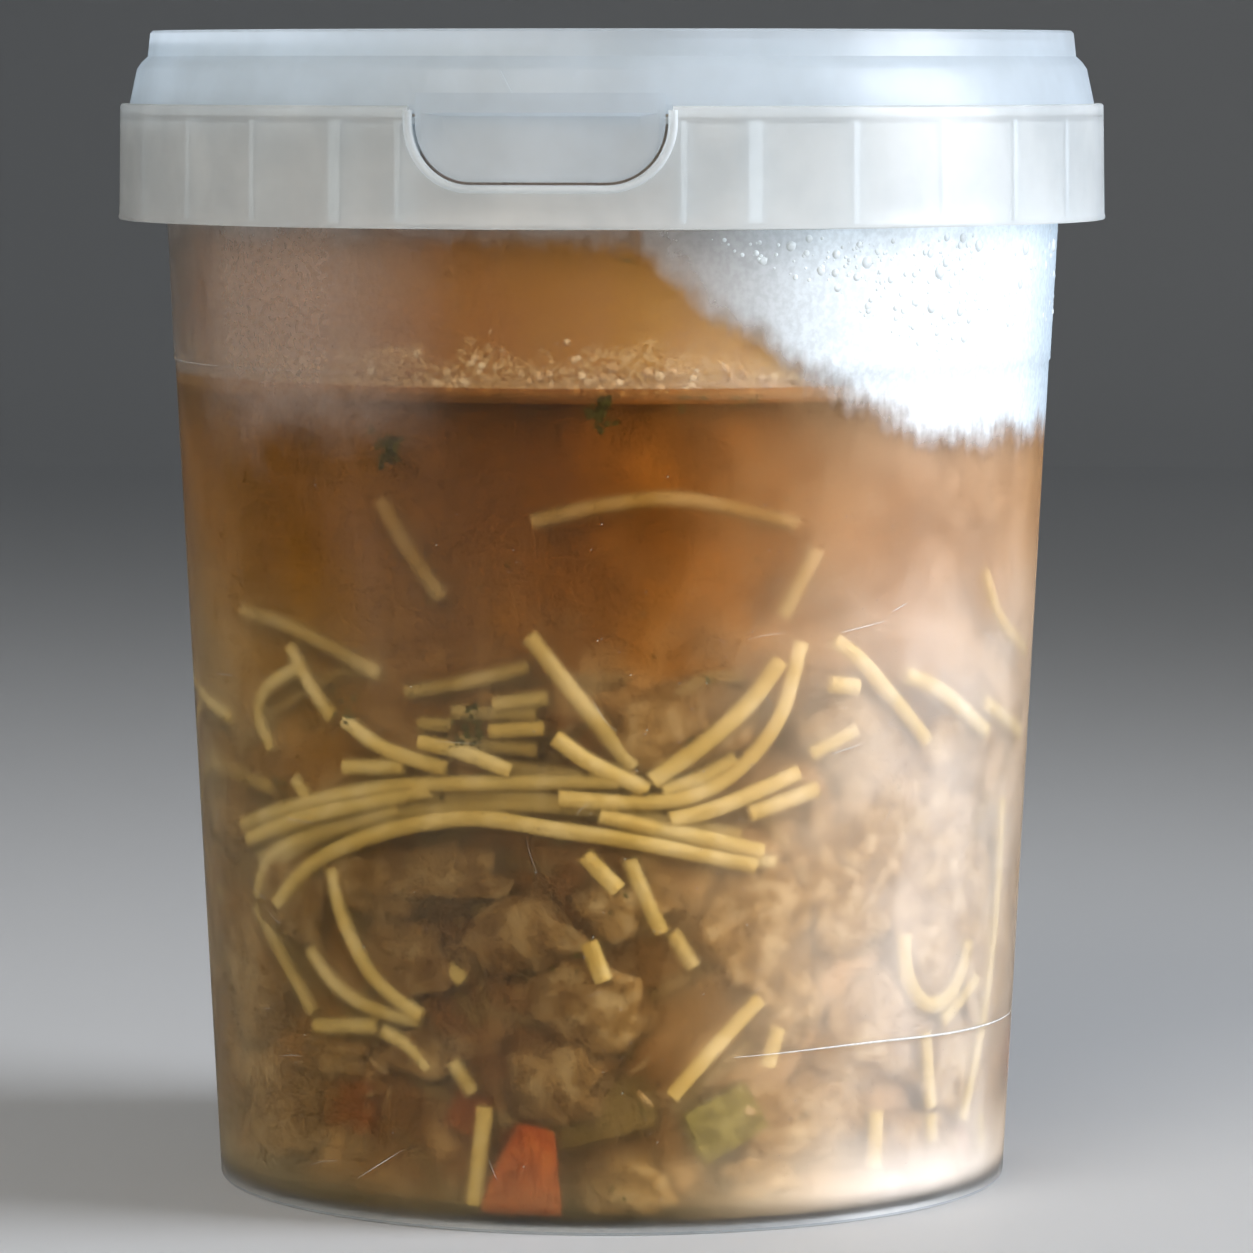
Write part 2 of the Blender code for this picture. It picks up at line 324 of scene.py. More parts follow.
def broth_colour_with_painted_light(add, here):
    """The cloudy broth with its fat and crumbs: dark amber in the middle, with painted light that makes it cream
    towards the right and paler at the left edge, where the lamps shine in.
    """
    # Both ramps run lighter towards the right and at the left edge: painted light where the lamps shine in, not the
    # broth's own colour.
    low = add("ValToRGB", here["side"], stops=[
        (0.0, "907048"), (0.12, "7c5a30"), (0.3, "62401f"), (0.46, "6a4424"), (0.62, "94744e"),
        (0.78, "ac8c6a"), (1.0, "c4b098")])
    high = add("ValToRGB", here["side"], stops=[
        (0.0, "947234"), (0.12, "826018"), (0.3, "684500"), (0.44, "6a4200"), (0.54, "946226"),
        (0.66, "80541c"), (0.8, "865e34"), (1.0, "b0967a")])
    base = add("Mix", add("MapRange", here["z"], 46.0, 72.0), low, high)
    cloud = clouds(add, here, 14.0, (1.0, 1.0, 0.6), 2.0)
    base = add("Mix", add("MapRange", cloud, 0.3, 0.7, 0.0, 0.5), base, "4c2c02")
    crumbs = clouds(add, here, 6.0, detail=4.0, warp=0.2)
    pale = add("MapRange", here["z"], 74.0, 58.0, 0.05, 0.5)
    pale = add("Math", add("MapRange", crumbs, 0.46, 0.76), pale, operation="MULTIPLY")
    return add("Mix", pale, base, "ccae86")


def in_broth(name, shades, grain, fade=1.6, rough=0.5, left=1.0):
    """Food in the broth. It has its own mottled colour at the wall, and the broth's further in. The share of its own
    colour that shows on the left is given: a painted shade on the side away from the key lamp."""
    made, add = new_material(name)
    here = spot(add)
    mottle = add("MapRange", clouds(add, here, grain, detail=4.0), 0.32, 0.68)
    last = len(shades) - 1
    own = add("ValToRGB", mottle, stops=[(i / last, shade) for i, shade in enumerate(shades)])
    thick = add("Math", here["depth"], -1.0 / fade, operation="MULTIPLY")
    # Less of the food's own colour on the left: painted shade, away from the key lamp.
    clear = add("MapRange", here["side"], 0.32, 0.6, left, 1.0)
    seen = add("MapRange", add("Math", thick, operation="EXPONENT"), 0.0, 0.8, 0.0, clear)
    shade = add("Mix", seen, broth_colour_with_painted_light(add, here), own)
    shader = add("BsdfPrincipled", {"Base Color": shade, "Roughness": rough, "IOR": 1.08})
    add("OutputMaterial", add("MixShader", 0.5, shader, add("BsdfTranslucent", shade)))
    return made


def frosted_wall():
    """Thin injection-moulded polypropylene: clear enough to show the soup, hazy enough to soften it."""
    made, add = new_material("injection_moulded_polypropylene_wall")
    here = spot(add)
    haze = clouds(add, here, 9.0, (1.0, 1.0, 0.25))
    grain = clouds(add, here, 0.5, (1.0, 1.0, 0.2))
    bump = add("Bump", {"Strength": 0.04, "Distance": 0.0001, "Height": grain})
    left = add("MapRange", here["side"], 0.5, 0.2, 0.0, 0.05)
    rough = add("Math", left, add("MapRange", haze, 0.3, 0.7, 0.45, 0.53))
    shader = add("BsdfPrincipled", {
        "Base Color": "f4f4f2", "Roughness": rough,
        "IOR": 1.49, "Specular Tint": "6c5c40", "Transmission Weight": 1.0, "Normal": bump})
    add("OutputMaterial", let_light_in(add, shader, "f4f4f4"))
    return made


def wet_wall():
    """The same plastic where broth wets it, so that this face bends and reflects no light."""
    made, add = new_material("polypropylene_wet_with_broth")
    shader = add("BsdfPrincipled", {
        "Base Color": "ffffff", "Roughness": 0.0, "IOR": 1.0, "Transmission Weight": 1.0})
    add("OutputMaterial", let_light_in(add, shader, "ffffff"))
    return made


def milky_plastic(name, shade, clearness, rough, glow):
    """Thicker injection-moulded polypropylene, milky because it scatters light inside."""
    made, add = new_material(name)
    here = spot(add)
    grain = clouds(add, here, 0.7, (1.0, 1.0, 0.5))
    bump = add("Bump", {"Strength": 0.05, "Distance": 0.0001, "Height": grain})
    cloud = add("MapRange", clouds(add, here, 11.0), 0.3, 0.7, 0.0, 0.35)
    base = add("Mix", cloud, shade, "c9d0d4")
    shader = add("BsdfPrincipled", {
        "Base Color": base, "Roughness": rough, "IOR": 1.49, "Specular IOR Level": 0.35,
        "Transmission Weight": clearness, "Normal": bump})
    shader = add("MixShader", glow, shader, add("BsdfTranslucent", base))
    add("OutputMaterial", let_light_in(add, shader, "c4c8ca"))
    return made


def cloudy_broth():
    """Chicken broth with fine fat and starch in it, so that near things show and deep ones don't. Its haze is painted
    paler and milkier towards the right, at the left edge and by the foot on the right, as a painted glow where the
    lamps' light comes in.
    """
    made, add = new_material("cloudy_chicken_broth")
    here = spot(add)
    # Paler towards the right: partly the broth's cloudiness, partly a painted glow of the lamps' light.
    base = add("ValToRGB", here["side"], stops=[
        (0.0, "dccaa0"), (0.3, "dac28a"), (0.55, "dec490"), (0.7, "ecd4b4"), (0.85, "f4e8de"),
        (0.96, "e8dcd0"), (1.0, "ac9882")])
    base = add("Mix", add("MapRange", here["z"], 60.0, 85.0, 0.0, 0.6), base, "c88a2c")
    # Milkier towards the right, at the left edge and by the foot on the right: partly real cloudiness, partly a painted
    # glow.
    milk_and_painted_glow = add("Math", add("MapRange", here["side"], 0.52, 0.85, 0.02, 0.31),
               add("MapRange", here["side"], 0.15, 0.0, 0.0, 0.12))
    cloud = add("MapRange", clouds(add, here, 12.0, detail=2.0), 0.3, 0.7, 0.6, 1.2)
    low = add("MapRange", here["z"], 84.0, 62.0, 0.0, 0.02)
    milk_and_painted_glow = add("Math", milk_and_painted_glow, low)
    foot = add("MapRange", here["side"], 0.5, 0.9, 0.08, 0.52)
    milk_and_painted_glow = add("Math", milk_and_painted_glow, cloud, add("MapRange", here["z"], 12.0, 2.0, 0.0, foot),
               operation="MULTIPLY_ADD")
    shader = add("BsdfPrincipled", {
        "Base Color": base, "Roughness": 0.0, "IOR": 1.0, "Specular IOR Level": 0.0,
        "Transmission Weight": add("Math", 1.0, milk_and_painted_glow, operation="SUBTRACT")})
    add("OutputMaterial", let_light_in(add, shader, "f2f0ec"))
    return made


def murky_middle():
    """The thick of the soup, where nothing shows but its colour, which carries the broth's painted light."""
    made, add = new_material("murky_soup_middle")
    here = spot(add)
    shader = add("BsdfPrincipled", {"Base Color": broth_colour_with_painted_light(add, here), "Roughness": 0.6, "IOR": 1.05})
    add("OutputMaterial", shader)
    return made


def fog_share(add, here):
    """How thick the condensation is: white on the right down past the soup's level, thin on the left."""
    streak = clouds(add, here, 1.4, (1.0, 1.0, 0.3), 2.0)
    wobble = clouds(add, here, 7.0, detail=2.0)
    along = add("MapRange", here["side"], 0.53, 0.86, interpolation_type="LINEAR")
    along = add("Math", along, 0.75, operation="POWER")
    edge = add("Math", along, -24.7, 114.9, operation="MULTIPLY_ADD")
    above = add("Math", here["z"], edge, operation="SUBTRACT")
    above = add("Math", streak, 3.0, above, operation="MULTIPLY_ADD")
    above = add("Math", wobble, 7.0, above, operation="MULTIPLY_ADD")
    thick = add("MapRange", here["side"], 0.52, 0.75, 0.42, 0.97)
    right = add("Math", add("MapRange", above, 2.5, 8.0), thick, operation="MULTIPLY")
    left = add("Math", add("MapRange", here["side"], 0.02, 0.09, 0.0, 0.52),
               add("MapRange", here["side"], 0.36, 0.16), operation="MULTIPLY")
    low = add("Math", wobble, 12.0, here["z"], operation="MULTIPLY_ADD")
    left = add("Math", left, add("MapRange", low, 92.0, 106.0), operation="MULTIPLY")
    bean = add("VectorMath", here["mm"], (1.0, 1.0, 0.5), operation="MULTIPLY")
    bean = add("VectorMath", bean, (-43.9, -29.6, 53.2), out=1, operation="DISTANCE")
    left = add("Math", left, add("MapRange", bean, 0.8, 1.5, 0.3, 1.0), operation="MULTIPLY")
    return add("Math", left, right, operation="MAXIMUM"), right


def condensation():
    """A film of fine water drops: thin and grey where it is patchy, white where it is thick, and painted whiter towards
    the right as the key lamp's light shining through it.
    """
    made, add = new_material("condensed_water_film")
    here = spot(add)
    share, right = fog_share(add, here)
    fine = add("MapRange", clouds(add, here, 0.8, detail=2.0), 0.3, 0.7, 0.82, 1.0)
    share = add("Math", share, fine, operation="MULTIPLY")
    # Whiter towards the right and greyer at the right edge: painted light from the key lamp.
    painted_light_white = add("ValToRGB", here["side"], stops=[(0.6, "c0ccd4"), (0.84, "e6eef4"), (0.95, "dce8f0"), (1.0, "a8bac8")])
    add("OutputMaterial", add("BsdfPrincipled", {
        "Base Color": add("Mix", right, "b8a294", painted_light_white), "Roughness": 0.55, "IOR": 1.33,
        "Alpha": share}))
    return made


def film_of_broth():
    """Fat and froth left on the wall above the soup: a tan line, lacy foam, and a clear amber film. The amber is
    painted lighter towards the right as light from the key lamp, and below the soup's level the film is painted the
    broth's colour over the shade under the surface.
    """
    made, add = new_material("amber_broth_film")
    here = spot(add)
    # Lighter towards the right: painted light from the key lamp.
    amber = add("ValToRGB", here["side"], stops=[
        (0.0, "90662e"), (0.2, "8c5a1c"), (0.36, "925a0c"), (0.5, "9e660e"), (0.62, "b48426"),
        (0.72, "c4923e"), (1.0, "d0b898")])
    cloud = add("MapRange", clouds(add, here, 12.0), 0.35, 0.65, 0.0, 0.4)
    amber = add("Mix", cloud, amber, "945410")
    reach = add("MapRange", clouds(add, here, 4.0, detail=2.0), 0.3, 0.7, 100.0, 103.5)
    high = add("MapRange", add("Math", here["z"], reach, operation="SUBTRACT"), 0.8, -1.5, 0.0, 0.7)
    lace = add("MapRange", clouds(add, here, 0.45, detail=2.0, warp=0.5), 0.45, 0.6)
    base = add("Mix", add("Math", lace, high, operation="MULTIPLY"), amber, "cca46a")
    base = add("Mix", add("MapRange", here["z"], 98.3, 97.8, 0.0, 0.65), base, "b48a56")
    # Below the soup's level the film takes the broth's colour, painted over the shadow that falls under the soup's
    # surface.
    base = add("Mix", add("MapRange", here["z"], 97.2, 96.0), base, broth_colour_with_painted_light(add, here))
    share, right = fog_share(add, here)
    base = add("Mix", right, base, "b8c4cc")
    shader = add("BsdfPrincipled", {"Base Color": base, "Roughness": 0.4, "IOR": 1.3})
    add("OutputMaterial", add("MixShader", 0.4, shader, add("BsdfTranslucent", base)))
    return made


def plain(name, shade, rough, see_through=0.0, index=1.45):
    """A nearly single-colour finish for the smallest things."""
    made, add = new_material(name)
    uneven = add("MapRange", clouds(add, spot(add), 1.0), 0.3, 0.7, 0.0, 0.3)
    add("OutputMaterial", add("BsdfPrincipled", {
        "Base Color": add("Mix", uneven, shade, "8f8f88"), "Roughness": rough, "IOR": index,
        "Transmission Weight": see_through}))
    return made


# The tub and its lid

def make_tub_body(material, wet_material, foot_material):
    """Foot ring, floor, tapered wall with its moulded step, and the rim."""
    base_z, ring_in = FLOOR_Z - FLOOR_T, FOOT_R - FOOT_RING_W
    rim_r, foot_in = body_r(SHELF_Z), body_r(FLOOR_Z) - WALL
    outer = [(0, base_z), (ring_in - 0.2, base_z), (ring_in, 0.0), (FOOT_R - 0.35, 0.0)]
    outer += [(FOOT_R - 0.05, 0.12), (body_r(0.4), 0.4), (body_r(STEP_Z - 0.1), STEP_Z - 0.1)]
    outer += [(body_r(STEP_Z + 0.1), STEP_Z + 0.1), (rim_r, RIM_Z - 1.9)]
    outer += [(rim_r + RIM_BEAD, RIM_Z - 1.3), (rim_r + RIM_BEAD, RIM_Z - 0.6), (rim_r, RIM_Z)]
    inner = [(rim_r - WALL + 0.25, RIM_Z), (rim_r - WALL, RIM_Z - 0.3), (rim_r - WALL, SHELF_Z)]
    inner += [(body_r(STEP_Z) - WALL, STEP_Z)]
    inner += arc(foot_in - CORNER_R, FLOOR_Z + CORNER_R, CORNER_R, 0, -90, 8) + [(0, FLOOR_Z)]
    tub = turned("tub_wall", finer(outer + inner, 2.5), material)
    tub.data.materials.append(wet_material)
    tub.data.materials.append(foot_material)
    for face in tub.data.polygons:
        z = face.center.z / MM
        out = sqrt(face.center.x**2 + face.center.y**2) / MM
        if FLOOR_Z - 0.1 < z < SOUP_Z + 0.2 and out < inner_r(z) + 0.2:
            face.material_index = 1
        elif z < FLOOR_Z - 0.3:
            face.material_index = 2
    return tub


def make_notch_bead(material):
    """The thick round edge of the notch in the collar."""
    top = LIP_Z - 0.45
    edge = [(-NOTCH_HALF, top)] + d_edge(NOTCH_HALF, NOTCH_Z, NOTCH_CORNER) + [(NOTCH_HALF, top)]
    radius = BEAD_R + 0.05
    path = [Vector(wrap(a, z, COLLAR_R - radius)) for a, z in edge]
    points, faces = [], []
    add_tube(points, faces, path, 2 * radius, 12)
    return add_piece("notch_bead", points, faces, material)


def make_collar(material):
    """The shelf and the deep collar round the rim, with the notch for the tab."""
    collar_in, lip_in = COLLAR_R - COLLAR_T, COLLAR_TOP_R - COLLAR_T
    shelf_low, inner = SHELF_Z - SHELF_T, body_r(SHELF_Z) - 0.3
    outline = [(inner, shelf_low), (lip_in, shelf_low), (collar_in, COLLAR_Z + 0.3)]
    outline += [(collar_in + 0.2, COLLAR_Z), (COLLAR_R - 0.1, COLLAR_Z), (COLLAR_R, COLLAR_Z + 0.25)]
    outline += [(COLLAR_R - 0.1, COLLAR_Z + 0.7)]
    outline += arc(COLLAR_TOP_R - 0.4, LIP_Z - 0.4, 0.4, 0, 180, 6) + [(lip_in, SHELF_Z), (inner, SHELF_Z)]
    collar = turned("tub_collar", finer(outline, 2.0), material, closed=True)
    size = NOTCH_HALF, NOTCH_Z, NOTCH_CORNER, LIP_Z + 1
    cutter = curved_solid("cutter", d_face(*size, COLLAR_R + 1), d_face(*size, body_r(SHELF_Z) + 1.2))
    boolean(collar, cutter, "DIFFERENCE")
    return collar


def make_ribs(material):
    """Upright plates that join the wall and the collar, below the shelf."""
    last = 360 // RIB_PITCH - RIB_FIRST
    plates = [(-POCKET_TURN, RIB_T), (POCKET_TURN, RIB_T)]
    for step in range(RIB_FIRST, last + 1):
        plates.append((step * RIB_PITCH, RIB_WIDE_T if step in (RIB_FIRST, last) else RIB_T))
    near, far = body_r(RIB_Z) - WALL / 2, COLLAR_TOP_R - 0.12
    points, faces = [], []
    for turn, thickness in plates:
        c, s = cos(radians(turn)), sin(radians(turn))
        first = len(points)
        for z in (RIB_Z, SHELF_Z - SHELF_T / 2):
            for out, side in ((near, -1), (far, -1), (far, 1), (near, 1)):
                x, y = side * thickness / 2, -out
                points.append((x * c - y * s, x * s + y * c, z))
        sides = [[i, (i + 1) % 4, 4 + (i + 1) % 4, 4 + i] for i in range(4)]
        faces += [[first + i for i in face] for face in ([0, 1, 2, 3], [7, 6, 5, 4], *sides)]
    return add_piece("collar_ribs", points, faces, material)


def skirt_r(z):
    """Outer radius of the lid's sloped skirt at a height."""
    low, high = LID_FOOT_R, STACK_R + 1.5
    return low + (high - low) * (z - (LIP_Z + 0.1)) / (133.0 - (LIP_Z + 0.1))


def lid_outline():
    """Top panel, stacking ring and skirt outside, then back along the inside."""
    foot_z, plug_out, under = SHELF_Z + 0.35, PLUG_IN_R + LID_T, LID_TOP_Z - 1.2
    outline = [(0, PANEL_Z + 0.4), (43.2, PANEL_Z + 0.4), (44.0, PANEL_Z), (PLUG_IN_R - 0.7, PANEL_Z)]
    outline += [(PLUG_IN_R, PANEL_Z + 0.7), (PLUG_IN_R + 0.1, LID_TOP_Z - 0.3), (PLUG_IN_R + 0.4, LID_TOP_Z)]
    outline += [(STACK_R - 0.4, LID_TOP_Z), (STACK_R - 0.1, LID_TOP_Z - 0.3), (STACK_R + 0.2, 134.5)]
    outline += [(STACK_R + 0.95, 133.8), (skirt_r(133.0), 133.0), (skirt_r(LIP_Z + 0.1), LIP_Z + 0.1)]
    outline += [(LID_FOOT_R - 0.05, foot_z), (LID_FOOT_R - LID_T + 0.05, foot_z)]
    outline += [(skirt_r(132.8) - LID_T, 132.8), (STACK_R - 0.5, 134.2), (STACK_R - LID_T, under)]
    outline += [(plug_out, under), (plug_out, PLUG_FOOT_Z + 0.6), (plug_out - 0.2, PLUG_FOOT_Z)]
    return outline + [(PLUG_IN_R, PLUG_FOOT_Z), (PLUG_IN_R - 0.3, PANEL_Z - PANEL_T), (0, PANEL_Z - PANEL_T)]


def make_tab():
    """A D-shaped plate that follows the collar's curve, with a scoop for the fingertip."""
    half, low, corner = NOTCH_HALF - TAB_CLEAR, NOTCH_Z + TAB_CLEAR, NOTCH_CORNER - TAB_CLEAR
    size = half, low, corner, TAB_TOP_Z
    tab = curved_solid("tab", d_face(*size, TAB_R), d_face(*size, TAB_R - TAB_T))

    def inset(shrink, top, radius):
        return d_face(half - shrink, low + shrink, corner - shrink, top, radius)

    mouth = inset(SCOOP_EDGE - 0.3, SCOOP_TOP_Z, TAB_R + 0.2)
    bottom = inset(SCOOP_EDGE + SCOOP_SLOPE, SCOOP_TOP_Z - 0.4, TAB_R - SCOOP_DEPTH)
    boolean(tab, curved_solid("scoop", mouth, bottom), "DIFFERENCE")
    return tab


def make_pad(side):
    """A low pad on the skirt above one half of the tab."""
    low, high = TAB_TOP_Z - 0.2, 132.9
    columns = [(side * (3.0 + 10.9 * i / 8), side * (4.6 + 8.4 * i / 8)) for i in range(9)]
    faces = [[(wrap(a, low, skirt_r(low) + out), wrap(b, high, skirt_r(high) + out)) for a, b in columns]
             for out in (PAD_OUT, -LID_T / 2)]
    return curved_solid("pad", *faces)


def make_lid(material):
    """The press-on lid: panel, plug, stacking ring, skirt, pads and finger tab in one moulding."""
    lid = turned("press_on_lid", finer(lid_outline(), 3.0), material)
    for part in (make_tab(), make_pad(-1), make_pad(1)):
        boolean(lid, part, "UNION")
    return lid


# The soup

def make_broth(material):
    """The liquid. It reaches just into the tub's wall and floor, and climbs a little at the wall."""
    foot_in, over = body_r(FLOOR_Z) - WALL, 0.25
    outline = [(0, FLOOR_Z - over)]
    outline += arc(foot_in - CORNER_R, FLOOR_Z + CORNER_R, CORNER_R + over, -90, 0, 8)
    edge = inner_r(SOUP_Z)
    outline += [(edge + over, SOUP_Z + 0.5), (edge - 0.4, SOUP_Z + 0.2), (edge - 1.6, SOUP_Z), (0, SOUP_Z)]
    return turned("broth", finer(outline, 4.0), material)


def make_murk(material):
    """The cloudy middle, with a lumpy surface a few millimetres in from the wall."""
    segments, rings = 160, 80
    low, high = FLOOR_Z + 0.7, SOUP_Z - 0.6
    points, faces = [(0, 0, low)], []
    for j in range(rings + 1):
        z = low + (high - low) * j / rings
        for i in range(segments):
            turn = 360 * i / segments
            here = place(turn, z, 0)
            wave = noise.fractal(here / 11, 0.8, 2.0, 4)
            depth = 4.0 + 2.0 * wave + 2.0 * (z > 60) * min(1.0, (z - 60) / 20)
            depth += 2.0 * max(0.0, 1 - (z - low) / 2.5)
            points.append(place(turn, z, max(2.0, depth)))
    points.append((0, 0, high))
    for j in range(rings):
        for i in range(segments):
            a, b = 1 + j * segments + i, 1 + j * segments + (i + 1) % segments
            faces.append([a, b, b + segments, a + segments])
    top = 1 + rings * segments
    for i in range(segments):
        faces += [[0, 1 + (i + 1) % segments, 1 + i], [len(points) - 1, top + i, top + (i + 1) % segments]]
    return add_piece("murky_middle", points, faces, material, 180)


# Noodles seen at the wall. Each is (depth, (turn, height), (turn, height), ...).
ARCHING_SHEAF = [
    (1.5, (-55, 44.5), (-40, 48), (-24, 51), (-10, 52), (9, 52.5)),
    (1.0, (-53, 43), (-37, 47), (-17, 51)),
    (1.9, (-52, 36.5), (-48, 41), (-40, 44), (-22, 48.5)),
    (1.0, (-46, 36), (-38, 41), (-29, 44.5), (-19, 47), (-10, 48), (0, 47), (12, 45.5), (28, 42.5)),
    (1.2, (12, 47.5), (20, 46), (29, 44)),
    (0.95, (1, 50.5), (9, 50)),
    (0.95, (6.5, 48.6), (13.5, 47.2)),
    (1.0, (7, 48.5), (14, 47)),
    (1.0, (16, 48), (23, 49.5), (34, 53)),
    (1.2, (27, 48.5), (37, 51)),
    (2.2, (-50, 39), (-38, 44), (-22, 48), (-6, 49.5), (8, 49)),
    (2.6, (-48, 46.5), (-30, 50), (-10, 50.5), (4, 49.5)),
    (2.4, (-20, 50), (-4, 50.5), (12, 48.5), (26, 46)),
    (2.0, (10, 46.5), (22, 44.5), (31, 42.5)),
    (2.4, (-51, 41), (-36, 46), (-18, 49.5)),
]
CURLING_RIGHT = [
    (1.1, (9, 50), (18, 50.5), (25, 53.5), (31, 59.5), (34, 68)),
    (1.3, (13.5, 52.5), (21, 57), (27, 61.5), (31, 66)),
    (1.7, (15, 51.3), (20, 52.6), (25, 54.8)),
    (2.1, (-3, 69), (4, 61.5), (11, 54)),
    (1.3, (0.5, 57.5), (5.5, 54.5), (13, 51.5)),
]
MIDDLE_STACK = [
    (2.7, (-21, 62), (-12, 63.5), (-3, 65.5)),
    (2.4, (-19, 58.5), (-14, 58.5)),
    (2.3, (-8, 61), (-0.5, 62)),
    (1.7, (-8.5, 58), (-1, 58.5)),
    (1.0, (-18.5, 56.5), (-12, 55.5), (-5.5, 53.5)),
    (1.0, (-30.5, 58.5), (-24, 55.5), (-14.5, 53.5)),
    (1.2, (-31, 53), (-21, 53.5)),
    (2.6, (-14, 60), (-2, 60)),
    (2.5, (-13, 56.5), (-2, 56)),
    (2.7, (-9, 54), (4, 53)),
]
LEFT_SIDE = [
    (2.5, (-53, 70), (-40, 68.5), (-25, 64)),
    (1.9, (-41, 66.5), (-37, 62), (-33, 58.5)),
    (1.8, (-38, 64.5), (-46, 61.5), (-49, 58), (-46, 54)),
    (1.4, (-34, 41), (-32.5, 35.5), (-27.5, 29), (-19.5, 24.5)),
    (1.9, (-39.5, 31), (-35, 27.5), (-28, 25), (-20, 24)),
    (1.7, (-26, 22.5), (-22, 21), (-18.5, 18.5)),
    (1.8, (-39, 22), (-27, 23)),
    (2.2, (-52.5, 35), (-45.5, 29), (-39.5, 23.5)),
    (2.0, (-15.5, 30.5), (-13, 29)),
    (1.4, (-10, 14.5), (-11, 8.5), (-12, 3)),
    (2.0, (-15, 19.5), (-12, 16)),
    (1.8, (-72, 59), (-57, 57)),
    (2.2, (-67, 51), (-47, 49.5)),
    (1.6, (-41, 51), (-38, 48.5)),
]
DEEP_ONES = [
    (3.3, (-24.5, 84), (-20, 78), (-15.5, 73)),
    (2.8, (-2.5, 82), (7.5, 84), (18, 84.5), (33.5, 81.5)),
    (2.5, (36.5, 78.5), (31.5, 71)),
]
RIGHT_SIDE = [
    (1.05, (39, 68), (44, 65), (56, 55.5)),
    (1.2, (51.5, 63.5), (59, 61), (71, 55.5)),
    (1.2, (38.5, 63), (43, 62.5)),
    (1.5, (36, 55), (43, 57.5)),
    (1.2, (68, 74.5), (74, 68.5), (87, 64)),
    (1.3, (70, 59), (87, 54)),
    (0.95, (78, 47), (78, 34), (75, 21), (69.5, 9.5)),
    (1.05, (53, 33), (54, 28), (58, 24.5), (63, 24.5), (67, 27.5), (68.5, 31)),
    (1.05, (72, 26), (62.5, 22)),
    (1.0, (58.5, 21), (60.5, 12)),
    (1.2, (49, 12.5), (49, 6)),
    (1.0, (60.5, 11), (61, 8)),
    (1.3, (76, 9.5), (77.5, 5)),
]
LOWER_MIDDLE = [
    (1.0, (29, 27), (22.5, 21.5), (16.5, 16)),
    (1.4, (32, 23.5), (30.5, 19)),
    (0.95, (5, 34), (7, 29.5)),
    (1.1, (4.5, 44), (9, 40)),
    (1.7, (10.5, 43.5), (13, 38.5), (15, 35)),
    (2.0, (16.5, 35), (19.5, 31)),
]


def make_noodles(material):
    """Thin round noodles with cut ends: those seen in front, then others all round and further in."""
    chance = random.Random(11)
    points, faces = [], []
    for group in (ARCHING_SHEAF, CURLING_RIGHT, MIDDLE_STACK, LEFT_SIDE, DEEP_ONES, RIGHT_SIDE, LOWER_MIDDLE):
        for depth, *stops in group:
            path = smooth_path([place(turn, z, depth) for turn, z in stops], 0.9)
            add_tube(points, faces, path, chance.uniform(1.8, 2.1), 10)
    for i in range(150):
        behind = i < 95
        turn = chance.uniform(95, 262) if behind else chance.uniform(-100, 100)
        depth = chance.uniform(1.0, 3.0) if behind else chance.uniform(3.4, 4.8)
        z = chance.triangular(6, 78 if behind else 60, 46)
        lean, bend = chance.uniform(-50, 50), chance.uniform(-30, 30)
        length = chance.uniform(10, 45)
        stops = []
        for k in range(6):
            stops.append(place(turn, z, depth))
            angle = radians(lean + bend * k / 2.5)
            turn += degrees_for(length / 5 * cos(angle))
            z = min(max(z + length / 5 * sin(angle), 3.5), 88 if behind else 64)
        add_tube(points, faces, smooth_path(stops, 1.2), chance.uniform(1.45, 1.75), 8)
    return add_piece("soup_noodles", points, faces, material)


def degrees_for(run):
    """The turn round the wall that a run in mm makes."""
    return run / 50.0 / radians(1)


def make_chicken(material):
    """Torn lumps of cooked chicken, pressed against the wall. Each is (turn, height, across, up)."""
    seen = [(6, 27, 6.5, 6), (-4, 35, 7, 4.5), (9, 38, 6, 4), (30, 36, 7, 8), (33, 27, 5, 6),
            (44, 40, 8, 9), (52, 47, 9, 8), (62, 36, 9, 11), (50, 22, 8, 7), (68, 17, 9, 7),
            (58, 8, 8, 4), (80, 30, 8, 12), (36, 12, 8, 6), (11, 6, 5, 4), (30, 6, 5, 3),
            (-14, 41, 7, 4), (-28, 40, 7, 5), (-22, 31, 6, 5), (-44, 38, 7, 7), (-55, 27, 8, 8),
            (-36, 19, 5, 3), (-60, 45, 7, 5), (-50, 12, 8, 6), (-21, 20, 5, 3), (-70, 15, 8, 8),
            (20, 58, 8, 6), (45, 57, 9, 6), (66, 56, 9, 7), (-75, 36, 8, 8), (0, 18, 6, 5)]
    chance = random.Random(5)
    points, faces = [], []
    for i, (turn, z, wide, tall) in enumerate(seen):
        inward = 3.3 if z < 50 else 4.2
        add_lump(points, faces, place(turn, z, inward), (wide, tall, 2.6), i, 0.2, 0.03)
    for i in range(34):
        centre = place(chance.uniform(95, 265), chance.uniform(6, 62), chance.uniform(2.8, 4.5))
        size = (chance.uniform(5, 10), chance.uniform(4, 8), 3.2)
        add_lump(points, faces, centre, size, 60 + i, 0.22, 0.05, 3)
    return add_piece("chicken_lumps", points, faces, material, 60)


def make_shreds(material):
    """Fine shreds and crumbs of meat between the lumps."""
    chance = random.Random(8)
    points, faces = [], []
    for _ in range(340):
        turn, z = chance.uniform(-180, 180), chance.triangular(3, 66, 14)
        depth, reach = chance.uniform(1.0, 3.0), chance.uniform(0.8, 4.5)
        lean, bend = chance.uniform(0, 180), chance.uniform(-30, 30)
        stops = []
        for k in range(4):
            stops.append(place(turn, z, depth))
            angle = radians(lean + bend * k / 2)
            turn += degrees_for(reach / 3 * cos(angle))
            z = min(max(z + reach / 3 * sin(angle), 2.4), 70)
        add_tube(points, faces, smooth_path(stops, 0.6), chance.uniform(0.25, 0.8), 5, taper=0.7)
    return add_piece("chicken_shreds", points, faces, material)


